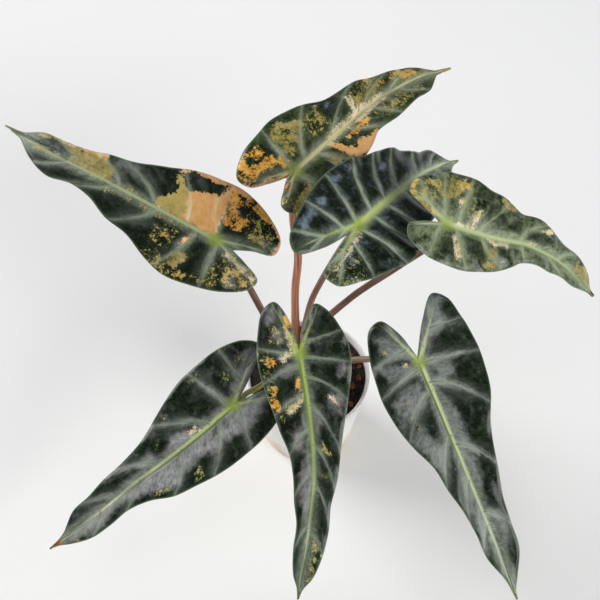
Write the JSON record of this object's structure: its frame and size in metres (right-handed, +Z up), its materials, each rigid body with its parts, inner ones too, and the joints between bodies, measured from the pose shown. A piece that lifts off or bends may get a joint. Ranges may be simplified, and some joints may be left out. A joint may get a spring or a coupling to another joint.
{
  "type": "potted aroid house plant",
  "caption": "Dwarf arrowhead alocasia in a tapered nursery pot: long variegated blades on slender stalks fan out from a short crown in potting mix.",
  "frame": {"origin": "middle of the pot's underside, on the surface it stands on", "axes": "+Z up along the pot's axis, -Y towards the leaf that leans over the front of the pot, +X to that leaf's right as seen from the front"},
  "size_m": [0.3939, 0.3428, 0.2715],
  "materials": {
    "pot": "satin",
    "soil": "matte",
    "crown": "matte",
    "sheath": "matte",
    "stalk": "satin",
    "blade": "satin",
    "bark": "matte",
    "perlite": "matte"
  },
  "bodies": {
    "root": {"pot": "pot", "soil": "soil", "crown": "crown", "new_leaf_sheath": "sheath", "stalk_left": "stalk", "stalk_back": "stalk", "stalk_centre": "stalk", "stalk_right": "stalk", "stalk_front_left": "stalk", "stalk_front": "stalk", "stalk_front_right": "stalk", "leaf_left": "blade", "leaf_back": "blade", "leaf_centre": "blade", "leaf_right": "blade", "leaf_front_left": "blade", "leaf_front": "blade", "leaf_front_right": "blade", "bark_chip_1": "bark", "bark_chip_2": "bark", "bark_chip_3": "bark", "bark_chip_4": "bark", "bark_chip_5": "bark", "bark_chip_6": "bark", "bark_chip_7": "bark", "bark_chip_8": "bark", "bark_chip_9": "bark", "perlite_1": "perlite", "perlite_2": "perlite", "perlite_3": "perlite"}
  },
  "joints": []
}
